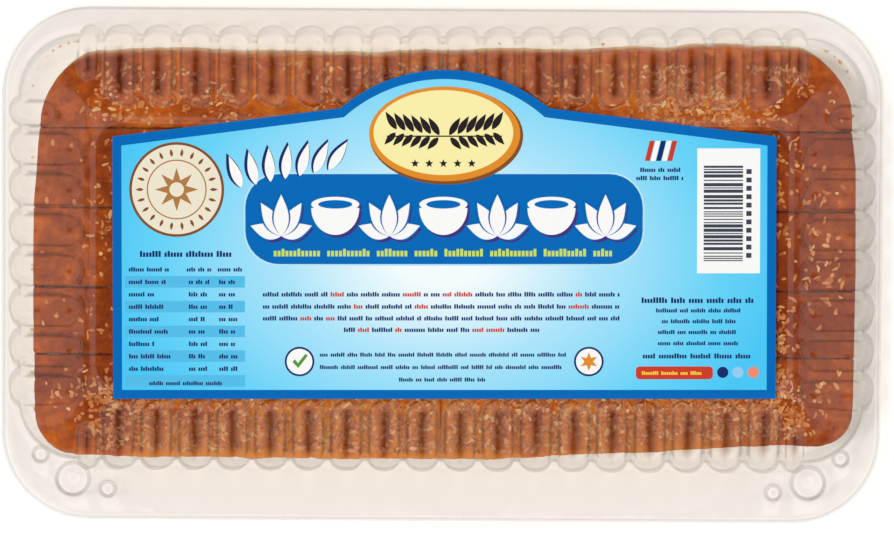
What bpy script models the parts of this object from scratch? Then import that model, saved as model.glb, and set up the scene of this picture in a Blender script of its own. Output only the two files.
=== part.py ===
# Ten slices of coconut sponge cake in a clear fluted clamshell pack with a printed label on its lid.
# Metres, +Z up. The origin is on the surface that the pack stands on, under the middle of its flange.
# +X is the right end of the pack, -Y its front, where the lid snaps shut, and +Y the hinge side.
import math
import random

import bmesh
import bpy
from mathutils import Matrix

MM = 0.001

# Sheet and flanges
SHEET = 0.45 * MM
FIT_GAP = 0.3 * MM
FLANGE_LENGTH = 270 * MM
FLANGE_DEPTH = 158 * MM
FLANGE_RADIUS = 27 * MM
TRAY_FLANGE_TOP = 19.85 * MM
LID_FLANGE_TOP = TRAY_FLANGE_TOP + FIT_GAP + SHEET
RIM_WIDTH = 1.8 * MM
RIM_DROP = 1.1 * MM

# Body of tray and lid, along the valleys between the flutes
BODY_HALF_LENGTH = 129.6 * MM
BODY_FRONT = -59.8 * MM
BODY_BACK = 70.1 * MM
BODY_RADIUS = 18.5 * MM
LEAST_RADIUS = 1.2 * MM
WALL_DRAFT = 1.2 * MM

# Flutes
FLUTE_DEPTH = 3.0 * MM
FLUTE_RAISE = 1.8 * MM
FLUTE_RUN = 20.6 * MM
FLUTE_END_SLOPE = 1.5 * MM
LONG_FLUTES = 18
LONG_PITCH = 11.56 * MM
SIDE_FLUTES = 7
SIDE_PITCH = 12.3 * MM
SIDE_FLUTES_FROM = -43.8 * MM
LONG_CORNER_FLUTE = 7.5 * MM
SIDE_CORNER_FLUTE = 9.5 * MM
CORNER_SWELL = 0.1
CORNER_STEP = 5.0 * MM
FLUTE_MARGIN = 0.3 * MM
# Share of a flute's width, and how far it stands out there as a share of its depth
LID_FLUTE = ((0.0, 0.0), (0.16, 0.8), (0.5, 1.0), (0.84, 0.8))
TRAY_FLUTE = ((0.0, 0.0), (0.25, 0.95), (0.75, 0.95))

# Lid above its flange
DECK_TOP = 40.9 * MM
SHOULDER = 2.2 * MM
PLATEAU_TOP = 42.9 * MM
PLATEAU_HALF_LENGTH = 105.5 * MM
PLATEAU_FRONT = -36.4 * MM
PLATEAU_BACK = 44.7 * MM
PLATEAU_RADIUS = 7.7 * MM
PLATEAU_FOOT = 1.1 * MM

# Tray below its flange
TRAY_BEND_TOP = 3.0 * MM
TRAY_BEND = 2.0 * MM

# Snaps at the two front corners: place, radius and depth, for the lid's plug
SNAP_AT = (113.0 * MM, -66.6 * MM)
SNAP_RADIUS = 4.4 * MM
SNAP_DEPTH = 3.0 * MM
DIMPLES_AT = ((122.9 * MM, -59.0 * MM), (102.3 * MM, -69.6 * MM))
DIMPLE_RADIUS = 2.0 * MM
DIMPLE_DEPTH = 1.4 * MM
SNAP_SIDES = 12
DIMPLE_SIDES = 6

# Label
LABEL_THICKNESS = 0.25 * MM
LABEL_BOTTOM = PLATEAU_TOP + 0.25 * MM
LABEL_HALF_LENGTH = 100.7 * MM
LABEL_FRONT = -38.7 * MM
LABEL_CORNER = 41.2 * MM
LABEL_NOTCH = (31.6 * MM, 49.2 * MM)
DOME_FOOT = 50.4 * MM
DOME_TOP = 61.4 * MM
DOME_STEPS = 20

# Cake
CAKE_HALF_LENGTH = 125.2 * MM
CAKE_TOP = 39.0 * MM
CAKE_RADIUS = 16.5 * MM
CRUMB_RADIUS = 1.2 * MM
CUT_WIDTH = 0.6 * MM
# Back edge, the four cuts across the depth, front edge
CAKE_CUTS = (67.4 * MM, 42.6 * MM, 18.3 * MM, -6.0 * MM, -26.4 * MM, -57.3 * MM)
# How far the outline draws in at each height
CAKE_LEVELS = ((0.9 * MM, 1.3 * MM), (3.2 * MM, 0.0), (37.3 * MM, 0.0), (39.0 * MM, 1.2 * MM))
FLAKES = 9
FLAKE_LENGTH = (2.2 * MM, 4.0 * MM)
FLAKE_WIDTH = (0.9 * MM, 1.5 * MM)
FLAKE_HEIGHT = 0.7 * MM
FLAKE_MARGIN = 3.4 * MM

FAR = 10.0
SIDE_LEG = BODY_BACK - BODY_FRONT - 2 * BODY_RADIUS
LONG_LEG = 2 * (BODY_HALF_LENGTH - BODY_RADIUS)
ARC_LEG = math.pi / 2 * BODY_RADIUS
LEGS = (SIDE_LEG, ARC_LEG, LONG_LEG, ARC_LEG) * 2
PERIMETER = sum(LEGS)


def clear_objects():
    for ob in list(bpy.data.objects):
        bpy.data.objects.remove(ob, do_unlink=True)


def plastic(name, alpha):
    material = bpy.data.materials.new(name)
    material.use_nodes = True
    shader = material.node_tree.nodes["Principled BSDF"]
    shader.inputs["Base Color"].default_value = (0.93, 0.94, 0.94, 1)
    shader.inputs["Roughness"].default_value = 0.08
    shader.inputs["Metallic"].default_value = 0
    shader.inputs["Alpha"].default_value = alpha
    return material


def solid_colour(name, colour, roughness):
    material = bpy.data.materials.new(name)
    material.use_nodes = True
    shader = material.node_tree.nodes["Principled BSDF"]
    shader.inputs["Base Color"].default_value = (*colour, 1)
    shader.inputs["Roughness"].default_value = roughness
    shader.inputs["Metallic"].default_value = 0
    return material


def add_object(name, mesh, collection, material=None):
    ob = bpy.data.objects.new(name, mesh)
    collection.objects.link(ob)
    if material:
        mesh.materials.append(material)
    return ob


# The body's outline is followed anticlockwise, seen from above, from the low end of the right side.
def place(distance):
    """Anchor and outward direction of the point this far round; FAR stands for the outline's edge."""
    distance %= PERIMETER
    leg_index = 0
    while distance > LEGS[leg_index]:
        distance -= LEGS[leg_index]
        leg_index += 1
    on_arc = leg_index % 2 == 1
    turn = leg_index // 2 + (distance / ARC_LEG if on_arc else 0)
    out_x, out_y = math.cos(turn * math.pi / 2), math.sin(turn * math.pi / 2)
    if on_arc:
        return math.copysign(FAR, out_x), math.copysign(FAR, out_y), out_x, out_y
    if leg_index == 0:
        return FAR, BODY_FRONT + BODY_RADIUS + distance, 1.0, 0.0
    if leg_index == 2:
        return BODY_HALF_LENGTH - BODY_RADIUS - distance, FAR, 0.0, 1.0
    if leg_index == 4:
        return -FAR, BODY_BACK - BODY_RADIUS - distance, -1.0, 0.0
    return BODY_RADIUS - BODY_HALF_LENGTH + distance, -FAR, 0.0, -1.0


def on_right(y):
    return y - BODY_FRONT - BODY_RADIUS


def on_back(x):
    return SIDE_LEG + ARC_LEG + BODY_HALF_LENGTH - BODY_RADIUS - x


def mirrored(distance):
    """The same place on the other side of the pack's middle plane."""
    return 2 * on_back(0) - distance


def outline_point(distance, half_length, front, back, radius):
    anchor_x, anchor_y, out_x, out_y = place(distance)
    x = min(max(anchor_x, radius - half_length), half_length - radius)
    y = min(max(anchor_y, front + radius), back - radius)
    return x + out_x * radius, y + out_y * radius


def body_point(distance, inset, z):
    radius = max(BODY_RADIUS - inset, LEAST_RADIUS)
    x, y = outline_point(distance, BODY_HALF_LENGTH - inset, BODY_FRONT + inset, BODY_BACK - inset, radius)
    return x, y, z


def all_flutes():
    """Start, end and share of the raise left at the inner end, for each flute, by distance round the body."""
    right = [(on_right(SIDE_FLUTES_FROM + i * SIDE_PITCH),
              on_right(SIDE_FLUTES_FROM + (i + 1) * SIDE_PITCH), 1.0) for i in range(SIDE_FLUTES)]
    side_top = right[-1][1]
    half_run = LONG_FLUTES / 2 * LONG_PITCH
    back_start = on_back(0) - half_run
    front_end = back_start + PERIMETER / 2 + 2 * half_run
    right.append((side_top, side_top + SIDE_CORNER_FLUTE, 0.0))
    right.append((back_start - LONG_CORNER_FLUTE, back_start, 0.0))
    right.append((front_end, front_end + LONG_CORNER_FLUTE, 0.0))
    left = [(mirrored(end), mirrored(start), kept) for start, end, kept in right]
    back = [(back_start + i * LONG_PITCH, back_start + (i + 1) * LONG_PITCH, 1.0) for i in range(LONG_FLUTES)]
    front = [(start + PERIMETER / 2, end + PERIMETER / 2, kept) for start, end, kept in back]
    return right + left + back + front


def fluted_samples(flute_shape):
    """Distance round, standing-out share and share of raise kept inside, from one valley round to it again."""
    flutes = sorted((start % PERIMETER, end - start, kept) for start, end, kept in all_flutes())
    samples = []
    for index, (start, width, kept) in enumerate(flutes):
        for share, height in flute_shape:
            samples.append((start + share * width, height, kept))
        following = flutes[(index + 1) % len(flutes)][0] + (PERIMETER if index + 1 == len(flutes) else 0)
        room = following - start - width
        if room > CORNER_STEP:
            steps = math.ceil(room / CORNER_STEP)
            for step in range(steps):
                samples.append((start + width + step * room / steps, CORNER_SWELL if step else 0.0, 0.0))
    return samples


def clear_of_flutes(samples):
    """The valleys and corner points, with the distance at which a stitched face moves on to each."""
    chosen = [s for s, out, _ in samples if out <= CORNER_SWELL]
    before = [chosen[-1] - PERIMETER] + chosen[:-1]
    past_crest = 1e-6 * MM
    return chosen, [(a + b) / 2 + past_crest for a, b in zip(before, chosen)]


def plain_distances(arc_steps, leg_steps):
    """Distances round the body for an outline with few points."""
    distances = []
    start = 0.0
    for index, leg in enumerate(LEGS):
        steps = arc_steps if index % 2 else leg_steps
        distances += [start + leg * step / steps for step in range(steps)]
        start += leg
    return distances


def ring(bm, points):
    return [bm.verts.new(point) for point in points]


def band(bm, outer, inner):
    """Faces between two rings with the same number of points, facing up or outwards."""
    count = len(outer)
    for i in range(count):
        j = (i + 1) % count
        bm.faces.new((outer[i], outer[j], inner[j], inner[i]))


def stitch(bm, outer, outer_at, inner, inner_at):
    """Triangles between two rings with unlike points, taken in order of distance round the body."""
    i = j = 0
    while i < len(outer) or j < len(inner):
        next_outer = outer_at[i + 1] if i + 1 < len(outer) else outer_at[0] + PERIMETER
        next_inner = inner_at[j + 1] if j + 1 < len(inner) else inner_at[0] + PERIMETER
        a, b = outer[i % len(outer)], inner[j % len(inner)]
        if j >= len(inner) or (i < len(outer) and next_outer <= next_inner):
            i += 1
            bm.faces.new((a, outer[i % len(outer)], b))
        else:
            j += 1
            bm.faces.new((a, inner[j % len(inner)], b))


def rim_drop(distance):
    """The rim turns down all round but along the hinge, and eases in round the two back corners."""
    _, _, _, out_y = place(distance)
    on_hinge_side = max(out_y, 0.0)
    return RIM_DROP * (1 - on_hinge_side) if on_hinge_side < 0.999 else 0.0


def flange_rings(bm, distances, z):
    edge = []
    for distance in distances:
        x, y = outline_point(distance, FLANGE_LENGTH / 2, -FLANGE_DEPTH / 2, FLANGE_DEPTH / 2, FLANGE_RADIUS)
        edge.append((x, y, z - rim_drop(distance)))
    inner = []
    for distance in distances:
        x, y = outline_point(distance, FLANGE_LENGTH / 2 - RIM_WIDTH, RIM_WIDTH - FLANGE_DEPTH / 2,
                             FLANGE_DEPTH / 2 - RIM_WIDTH, FLANGE_RADIUS - RIM_WIDTH)
        inner.append((x, y, z))
    edge, inner = ring(bm, edge), ring(bm, inner)
    band(bm, edge, inner)
    return inner


def finish_shell(name, bm, collection, material):
    mesh = bpy.data.meshes.new(name)
    bm.to_mesh(mesh)
    bm.free()
    shell = add_object(name, mesh, collection, material)
    wall = shell.modifiers.new("Sheet", "SOLIDIFY")
    wall.thickness = SHEET
    wall.offset = -1
    wall.use_even_offset = True
    return shell


def fluted_flange(bm, samples, z):
    """The flange from its rim in to the fluted foot of the wall, whose points it returns."""
    plain = plain_distances(7, 5)
    flange = flange_rings(bm, plain, z)
    chosen, moves_on = clear_of_flutes(samples)
    around = ring(bm, [body_point(s, -FLUTE_DEPTH - FLUTE_MARGIN, z) for s in chosen])
    foot = ring(bm, [body_point(s, -FLUTE_DEPTH * out, z) for s, out, _ in samples])
    stitch(bm, flange, plain, around, chosen)
    stitch(bm, around, moves_on, foot, [sample[0] for sample in samples])
    return foot


def make_lid(collection, material):
    bm = bmesh.new()
    samples = fluted_samples(LID_FLUTE)
    foot = fluted_flange(bm, samples, LID_FLANGE_TOP)
    wall_top = ring(bm, [body_point(s, WALL_DRAFT - FLUTE_DEPTH * out, DECK_TOP - SHOULDER + FLUTE_RAISE * out)
                         for s, out, _ in samples])
    shoulder = ring(bm, [body_point(s, WALL_DRAFT + SHOULDER - FLUTE_DEPTH * out, DECK_TOP + FLUTE_RAISE * out)
                         for s, out, _ in samples])
    flute_end = ring(bm, [body_point(s, FLUTE_RUN - FLUTE_END_SLOPE, DECK_TOP + FLUTE_RAISE * out * kept)
                          for s, out, kept in samples])
    deck = ring(bm, [body_point(s, FLUTE_RUN, DECK_TOP) for s, _, _ in samples])
    for outer, inner in ((foot, wall_top), (wall_top, shoulder), (shoulder, flute_end), (flute_end, deck)):
        band(bm, outer, inner)
    few = plain_distances(5, 4)
    rings = []
    for grow, z in ((PLATEAU_FOOT, DECK_TOP), (0.0, PLATEAU_TOP)):
        rings.append(ring(bm, [(*outline_point(s, PLATEAU_HALF_LENGTH + grow, PLATEAU_FRONT - grow,
                                               PLATEAU_BACK + grow, PLATEAU_RADIUS + grow), z) for s in few]))
    stitch(bm, deck, [sample[0] for sample in samples], rings[0], few)
    band(bm, rings[0], rings[1])
    bm.faces.new(rings[1])
    return finish_shell("lid", bm, collection, material)


def make_tray(collection, material):
    bm = bmesh.new()
    samples = fluted_samples(TRAY_FLUTE)
    foot = fluted_flange(bm, samples, TRAY_FLANGE_TOP)
    bend = ring(bm, [body_point(s, WALL_DRAFT - FLUTE_DEPTH * out, TRAY_BEND_TOP) for s, out, _ in samples])
    base = ring(bm, [body_point(s, WALL_DRAFT + TRAY_BEND - FLUTE_DEPTH * out, SHEET) for s, out, _ in samples])
    band(bm, foot, bend)
    band(bm, bend, base)
    bm.faces.new(base)
    return finish_shell("tray", bm, collection, material)


def snap_list():
    """Every snap and dimple: centre, radius of the lid's plug, its depth and its sides."""
    snaps = []
    for side in (-1, 1):
        snaps.append((side * SNAP_AT[0], SNAP_AT[1], SNAP_RADIUS, SNAP_DEPTH, SNAP_SIDES))
        for x, y in DIMPLES_AT:
            snaps.append((side * x, y, DIMPLE_RADIUS, DIMPLE_DEPTH, DIMPLE_SIDES))
    return snaps


def snap_bodies(name, grow, top, bottom_shift):
    """Closed plugs, one at every snap, in a hidden collection of their own."""
    plugs = bpy.data.collections.new(name)
    bpy.context.scene.collection.children.link(plugs)
    for index, (x, y, radius, depth, sides) in enumerate(snap_list()):
        low = top[0] - depth + bottom_shift
        bm = bmesh.new()
        bmesh.ops.create_cone(bm, cap_ends=True, segments=sides, radius1=radius + grow, radius2=radius + grow,
                              depth=top[1] - low, matrix=Matrix.Translation((x, y, (top[1] + low) / 2)))
        mesh = bpy.data.meshes.new(f"{name}_{index}")
        bm.to_mesh(mesh)
        bm.free()
        plug = add_object(f"{name}_{index}", mesh, plugs)
        plug.hide_render = True
        plug.display_type = "WIRE"
    return plugs


def combine(ob, collection, operation, solver="EXACT"):
    """Applies one Boolean with a collection, then removes the collection's objects."""
    modifier = ob.modifiers.new(operation, "BOOLEAN")
    modifier.operation = operation
    modifier.operand_type = "COLLECTION"
    modifier.collection = collection
    modifier.solver = solver
    evaluated = ob.evaluated_get(bpy.context.evaluated_depsgraph_get())
    mesh = bpy.data.meshes.new_from_object(evaluated)
    ob.modifiers.clear()
    ob.data = mesh
    for cutter in list(collection.objects):
        bpy.data.objects.remove(cutter, do_unlink=True)
    bpy.data.collections.remove(collection)


def press_snaps(shell, flange_top, grow):
    """Presses a cup into the flange at every snap: a plug is joined on, then hollowed from above."""
    inside = flange_top - SHEET / 2
    combine(shell, snap_bodies("plugs", grow, (flange_top, inside), 0.0), "UNION")
    combine(shell, snap_bodies("hollows", grow - SHEET, (flange_top, flange_top + 1 * MM), SHEET), "DIFFERENCE")


def make_label(collection, material):
    """A flat sheet with straight sides, a shoulder sloping up on each side and a dome in the middle."""
    notch_x, notch_y = LABEL_NOTCH
    rise = DOME_TOP - DOME_FOOT
    dome_radius = (notch_x ** 2 + rise ** 2) / (2 * rise)
    half_angle = math.asin(notch_x / dome_radius)
    points = [(-LABEL_HALF_LENGTH, LABEL_FRONT), (LABEL_HALF_LENGTH, LABEL_FRONT),
              (LABEL_HALF_LENGTH, LABEL_CORNER), (notch_x, notch_y)]
    for step in range(DOME_STEPS + 1):
        angle = half_angle * (1 - 2 * step / DOME_STEPS)
        points.append((dome_radius * math.sin(angle), DOME_TOP - dome_radius * (1 - math.cos(angle))))
    points += [(-notch_x, notch_y), (-LABEL_HALF_LENGTH, LABEL_CORNER)]
    bm = bmesh.new()
    face = bm.faces.new(ring(bm, [(x, y, LABEL_BOTTOM) for x, y in points]))
    raised = bmesh.ops.extrude_face_region(bm, geom=[face])
    top = [item for item in raised["geom"] if isinstance(item, bmesh.types.BMVert)]
    bmesh.ops.translate(bm, verts=top, vec=(0, 0, LABEL_THICKNESS))
    bmesh.ops.recalc_face_normals(bm, faces=bm.faces)
    mesh = bpy.data.meshes.new("label")
    bm.to_mesh(mesh)
    bm.free()
    return add_object("label", mesh, collection, material)


def slice_outline(x_range, y_range, outer_corner, inset):
    """Anticlockwise points of a slice; its one outer corner, if any, follows the pack's corner."""
    (x0, x1), (y0, y1) = x_range, y_range
    corners = ((x1, y1, 0), (x0, y1, 1), (x0, y0, 2), (x1, y0, 3))
    points = []
    for x, y, quarter in corners:
        is_outer = quarter == outer_corner
        radius = CAKE_RADIUS if is_outer else CRUMB_RADIUS + inset
        steps = 6 if is_outer else 2
        centre_x = x - math.copysign(radius, math.cos(math.pi / 4 + quarter * math.pi / 2))
        centre_y = y - math.copysign(radius, math.sin(math.pi / 4 + quarter * math.pi / 2))
        for step in range(steps + 1):
            angle = (quarter + step / steps) * math.pi / 2
            points.append((centre_x + (radius - inset) * math.cos(angle),
                           centre_y + (radius - inset) * math.sin(angle)))
    return points


def make_flakes(name, x_range, y_range, outer_corner, rng):
    """Coconut flakes half sunk in the top of a slice, spread evenly on a jittered grid."""
    flakes = bpy.data.collections.new(name + "_flakes")
    bpy.context.scene.collection.children.link(flakes)
    rows = 3
    columns = FLAKES // rows
    (x0, x1), (y0, y1) = x_range, y_range
    for index in range(FLAKES):
        column, row = index % columns, index // columns
        x = x0 + FLAKE_MARGIN + (x1 - x0 - 2 * FLAKE_MARGIN) * (column + rng.uniform(0.15, 0.85)) / columns
        y = y0 + FLAKE_MARGIN + (y1 - y0 - 2 * FLAKE_MARGIN) * (row + rng.uniform(0.15, 0.85)) / rows
        if outer_corner is not None:
            out_x = 1 if outer_corner in (0, 3) else -1
            out_y = 1 if outer_corner in (0, 1) else -1
            centre_x = (x1 if out_x > 0 else x0) - out_x * CAKE_RADIUS
            centre_y = (y1 if out_y > 0 else y0) - out_y * CAKE_RADIUS
            reach_x, reach_y = max((x - centre_x) * out_x, 0), max((y - centre_y) * out_y, 0)
            reach = math.hypot(reach_x, reach_y)
            limit = CAKE_RADIUS - FLAKE_MARGIN - FLAKE_WIDTH[1]
            if reach_x and reach_y and reach > limit:
                x = centre_x + (x - centre_x) * limit / reach
                y = centre_y + (y - centre_y) * limit / reach
        size = (rng.uniform(*FLAKE_LENGTH), rng.uniform(*FLAKE_WIDTH), 2 * FLAKE_HEIGHT)
        matrix = (Matrix.Translation((x, y, CAKE_TOP - 0.05 * MM)) @ Matrix.Rotation(rng.uniform(0, math.pi), 4, "Z")
                  @ Matrix.Diagonal((*(value / 2 for value in size), 1)))
        bm = bmesh.new()
        bmesh.ops.create_icosphere(bm, subdivisions=1, radius=1, matrix=matrix)
        mesh = bpy.data.meshes.new(f"{name}_flake_{index}")
        bm.to_mesh(mesh)
        bm.free()
        add_object(mesh.name, mesh, flakes)
    return flakes


def make_slice(name, x_range, y_range, outer_corner, collection, material, rng):
    bm = bmesh.new()
    rings = [ring(bm, [(x, y, z) for x, y in slice_outline(x_range, y_range, outer_corner, inset)])
             for z, inset in CAKE_LEVELS]
    for lower, upper in zip(rings, rings[1:]):
        band(bm, lower, upper)
    bm.faces.new(rings[-1])
    bm.faces.new(list(reversed(rings[0])))
    mesh = bpy.data.meshes.new(name)
    bm.to_mesh(mesh)
    bm.free()
    cake = add_object(name, mesh, collection, material)
    combine(cake, make_flakes(name, x_range, y_range, outer_corner, rng), "UNION")
    return cake


def make_cake(collection, material):
    """Two columns of five slices, numbered from the back, with a narrow cut between neighbours."""
    rng = random.Random(5)
    half_cut = CUT_WIDTH / 2
    last = len(CAKE_CUTS) - 2
    for column, x_range in (("left", (-CAKE_HALF_LENGTH, -half_cut)), ("right", (half_cut, CAKE_HALF_LENGTH))):
        for row in range(last + 1):
            back = CAKE_CUTS[row] - (half_cut if row else 0)
            front = CAKE_CUTS[row + 1] + (half_cut if row < last else 0)
            outer_corner = None
            if row == 0:
                outer_corner = 1 if column == "left" else 0
            elif row == last:
                outer_corner = 2 if column == "left" else 3
            make_slice(f"slice_{column}_{row + 1}", x_range, (front, back), outer_corner, collection, material, rng)


def main():
    clear_objects()
    pack = bpy.data.collections.new("Sliced coconut sponge pack")
    bpy.context.scene.collection.children.link(pack)
    tray = make_tray(pack, plastic("Clear tray sheet", 0.3))
    press_snaps(tray, TRAY_FLANGE_TOP, FIT_GAP + SHEET)
    lid = make_lid(pack, plastic("Clear lid sheet", 0.3))
    press_snaps(lid, LID_FLANGE_TOP, 0.0)
    make_label(pack, solid_colour("Label print", (0.10, 0.45, 0.80), 0.35))
    make_cake(pack, solid_colour("Coconut sponge", (0.52, 0.24, 0.11), 0.85))


main()
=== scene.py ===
import math

import bpy
import numpy as np
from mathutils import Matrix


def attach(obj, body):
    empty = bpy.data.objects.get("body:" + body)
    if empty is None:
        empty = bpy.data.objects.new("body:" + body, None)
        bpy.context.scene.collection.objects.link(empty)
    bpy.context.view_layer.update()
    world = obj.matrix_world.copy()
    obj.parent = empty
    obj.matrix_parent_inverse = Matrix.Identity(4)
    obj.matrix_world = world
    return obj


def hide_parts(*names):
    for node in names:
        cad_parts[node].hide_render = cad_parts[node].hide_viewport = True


# Ten slices of coconut sponge cake in a clear fluted clamshell pack with a printed label on its lid.
# Lengths are in mm and turn into metres when a mesh is made. +X right, -Y front, +Y hinge side, +Z up.
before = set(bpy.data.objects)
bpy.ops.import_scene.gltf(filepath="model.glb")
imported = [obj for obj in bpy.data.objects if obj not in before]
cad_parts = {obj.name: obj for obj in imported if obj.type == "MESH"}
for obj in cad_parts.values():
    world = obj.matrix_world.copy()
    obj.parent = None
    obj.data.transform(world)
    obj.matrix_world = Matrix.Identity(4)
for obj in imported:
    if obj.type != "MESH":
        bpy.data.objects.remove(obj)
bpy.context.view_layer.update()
mm = 0.001
print("frame loaded")


def linear(colour):
    # sRGB 0…255 to linear light: ((c + 0.055) / 1.055) ^ 2.4 above the dark end
    c = np.asarray(colour, float) / 255
    return tuple(np.where(c <= 0.04045, c / 12.92, ((c + 0.055) / 1.055) ** 2.4)) + (1.0,)


def smooth(low, high, value):
    # t² (3 - 2t), t = share of the way from low to high
    t = np.clip((value - low) / (high - low), 0, 1)
    return t * t * (3 - 2 * t)


def softNoise(points, cell, seed):
    # random values on a cubic lattice of the given cell, blended with 3t² - 2t³ along each axis, 0…1
    table = np.random.default_rng(seed).random((32, 32, 32))
    scaled = np.asarray(points) / cell
    base = np.floor(scaled).astype(int)
    part = scaled - base
    part = part * part * (3 - 2 * part)
    value = np.zeros(scaled.shape[:-1])
    for corner in np.ndindex(2, 2, 2):
        at = (base + corner) % 32
        weight = np.prod(np.where(corner, part, 1 - part), axis=-1)
        value += weight * table[at[..., 0], at[..., 1], at[..., 2]]
    return value


def gridFaces(rows, columns, first=0):
    # quads between neighbouring rows, closed round the columns; face up where rows run inwards
    start = first + np.arange(rows - 1)[:, None] * columns
    here = start + np.arange(columns)[None, :]
    beside = start + (np.arange(columns)[None, :] + 1) % columns
    return np.stack([here, beside, beside + columns, here + columns], -1).reshape(-1, 4)


def addMesh(name, points, faces, material, body, values=None, colours=None, flat=False):
    # points in mm; values = numbers at each point by attribute name, colours = one colour at each point
    mesh = bpy.data.meshes.new(name)
    mesh.from_pydata((np.asarray(points).reshape(-1, 3) * mm).tolist(), [],
                     [list(map(int, face)) for face in faces])
    for key, numbers in (values or {}).items():
        layer = mesh.attributes.new(key, "FLOAT", "POINT")
        layer.data.foreach_set("value", np.asarray(numbers, np.float32).ravel())
    if colours is not None:
        layer = mesh.attributes.new("ink", "FLOAT_COLOR", "POINT")
        layer.data.foreach_set("color", np.asarray(colours, np.float32).ravel())
    mesh.update()
    if not flat:
        mesh.shade_smooth()
    mesh.materials.append(material)
    piece = bpy.data.objects.new(name, mesh)
    bpy.context.scene.collection.objects.link(piece)
    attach(piece, body)
    return piece


def newMaterial(name, roughness=0.5, specular=0.5):
    material = bpy.data.materials.new(name)
    material.use_nodes = True
    shader = material.node_tree.nodes["Principled BSDF"]
    shader.inputs["Roughness"].default_value = roughness
    shader.inputs["Specular IOR Level"].default_value = specular
    return material, material.node_tree, shader


def newNode(tree, kind, **values):
    # values go to the sockets of that name, with _ for a space: a socket is linked, a number is set
    node = tree.nodes.new("ShaderNode" + kind)
    for key, value in values.items():
        feed(tree, node.inputs[key.replace("_", " ")], value)
    return node


def feed(tree, socket, value):
    if isinstance(value, bpy.types.NodeSocket):
        tree.links.new(value, socket)
    else:
        socket.default_value = value


def attributeOf(tree, name, output="Fac"):
    node = newNode(tree, "Attribute")
    node.attribute_name = name
    return node.outputs[output]


def mathNode(tree, operation, *values, kind="Math"):
    node = newNode(tree, kind)
    node.operation = operation
    for socket, value in zip(node.inputs, values):
        feed(tree, socket, value)
    return node.outputs[1 if operation in ("LENGTH", "DOT_PRODUCT") else 0]


def ramp(tree, factor, stops):
    node = tree.nodes.new("ShaderNodeValToRGB")
    tree.links.new(factor, node.inputs[0])
    elements = node.color_ramp.elements
    while len(elements) < len(stops):
        elements.new(0.5)
    for element, (place, colour) in zip(elements, stops):
        element.position = place
        element.color = linear(colour)
    return node.outputs[0]


# the clear sheet: light passes straight through it, and a small share is mirrored
sheetLook = {
    "reflection": 0.030,        # share mirrored where the sheet is seen square on
    "grazing": 0.40,            # share mirrored at the steepest sides
    "roughness": 0.07,
    "clearness": (0.979, 0.975, 0.969),   # light let through by each surface
    "edgeShade": 0.13,          # how much darker the steep sides look
    "shadowShare": 0.15,        # share of the mirroring that also dims the light passing through
    "footShadeLine": 0.24,           # how much darker the painted shade lines round the flutes' feet and the rim are
    "crestShadowDim": (0.60, 0.78, 0.88),   # painted shadow: share of each colour that a flute's crest holds back from the lamps
    "crestShadeSeen": 0.36,          # part of that painted shade also held back from everything else
    "waves": (140.0, 0.5, 0.0006),    # scale, strength and height of the sheet's unevenness
}


def clearSheet(name):
    # mirrored share = r + (g - r) (1 - cos)^5; let-through colour = clearness (1 - edgeShade (1 - cos)^4),
    # times 1 - footShadeLine · foot for the painted shade lines, less crestShadowDim · crestShade for the
    # painted crest shadow
    material, tree, shader = newMaterial(name)
    output = tree.nodes["Material Output"]
    tree.nodes.remove(shader)
    facing = newNode(tree, "LayerWeight", Blend=0.5).outputs["Facing"]
    shadowRay = newNode(tree, "LightPath").outputs["Is Shadow Ray"]
    mirrored = mathNode(tree, "MULTIPLY_ADD", mathNode(tree, "POWER", facing, 5.0),
                        sheetLook["grazing"] - sheetLook["reflection"], sheetLook["reflection"])
    dimming = mathNode(tree, "MULTIPLY_ADD", shadowRay, sheetLook["shadowShare"] - 1, 1.0)
    mirrored = mathNode(tree, "MULTIPLY", mirrored, dimming)
    shade = mathNode(tree, "MULTIPLY_ADD", mathNode(tree, "POWER", facing, 4.0), -sheetLook["edgeShade"], 1.0)
    # painted shade lines at the flutes' feet, the rim, the walls' feet and round the snaps darken what shows
    # through
    shadeLine = mathNode(tree, "MULTIPLY_ADD", attributeOf(tree, "foot"), -sheetLook["footShadeLine"], 1.0)
    shade = mathNode(tree, "MULTIPLY", shade, shadeLine)
    # painted shadow and shade along the crests: the lamps lose the full share, everything else a part
    crestShade = mathNode(tree, "MULTIPLY_ADD", shadowRay, 1 - sheetLook["crestShadeSeen"], sheetLook["crestShadeSeen"])
    crestShade = mathNode(tree, "MULTIPLY", attributeOf(tree, "crestShade"), crestShade)
    clearness = np.array(sheetLook["clearness"])
    dim = -clearness * sheetLook["crestShadowDim"]
    held = mathNode(tree, "MULTIPLY_ADD", crestShade, dim, clearness, kind="VectorMath")
    tint = mathNode(tree, "MULTIPLY", held, shade, kind="VectorMath")
    scale, strength, height = sheetLook["waves"]
    where = newNode(tree, "TexCoord").outputs["Object"]
    noise = newNode(tree, "TexNoise", Vector=where, Scale=scale)
    bump = newNode(tree, "Bump", Strength=strength, Distance=height, Height=noise.outputs["Fac"])
    through = newNode(tree, "BsdfTransparent", Color=tint)
    gloss = newNode(tree, "BsdfGlossy", Color=(1, 1, 1, 1), Roughness=sheetLook["roughness"],
                    Normal=bump.outputs[0])
    mix = newNode(tree, "MixShader", Fac=mirrored)
    tree.links.new(through.outputs[0], mix.inputs[1])
    tree.links.new(gloss.outputs[0], mix.inputs[2])
    tree.links.new(mix.outputs[0], output.inputs["Surface"])
    return material


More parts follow.
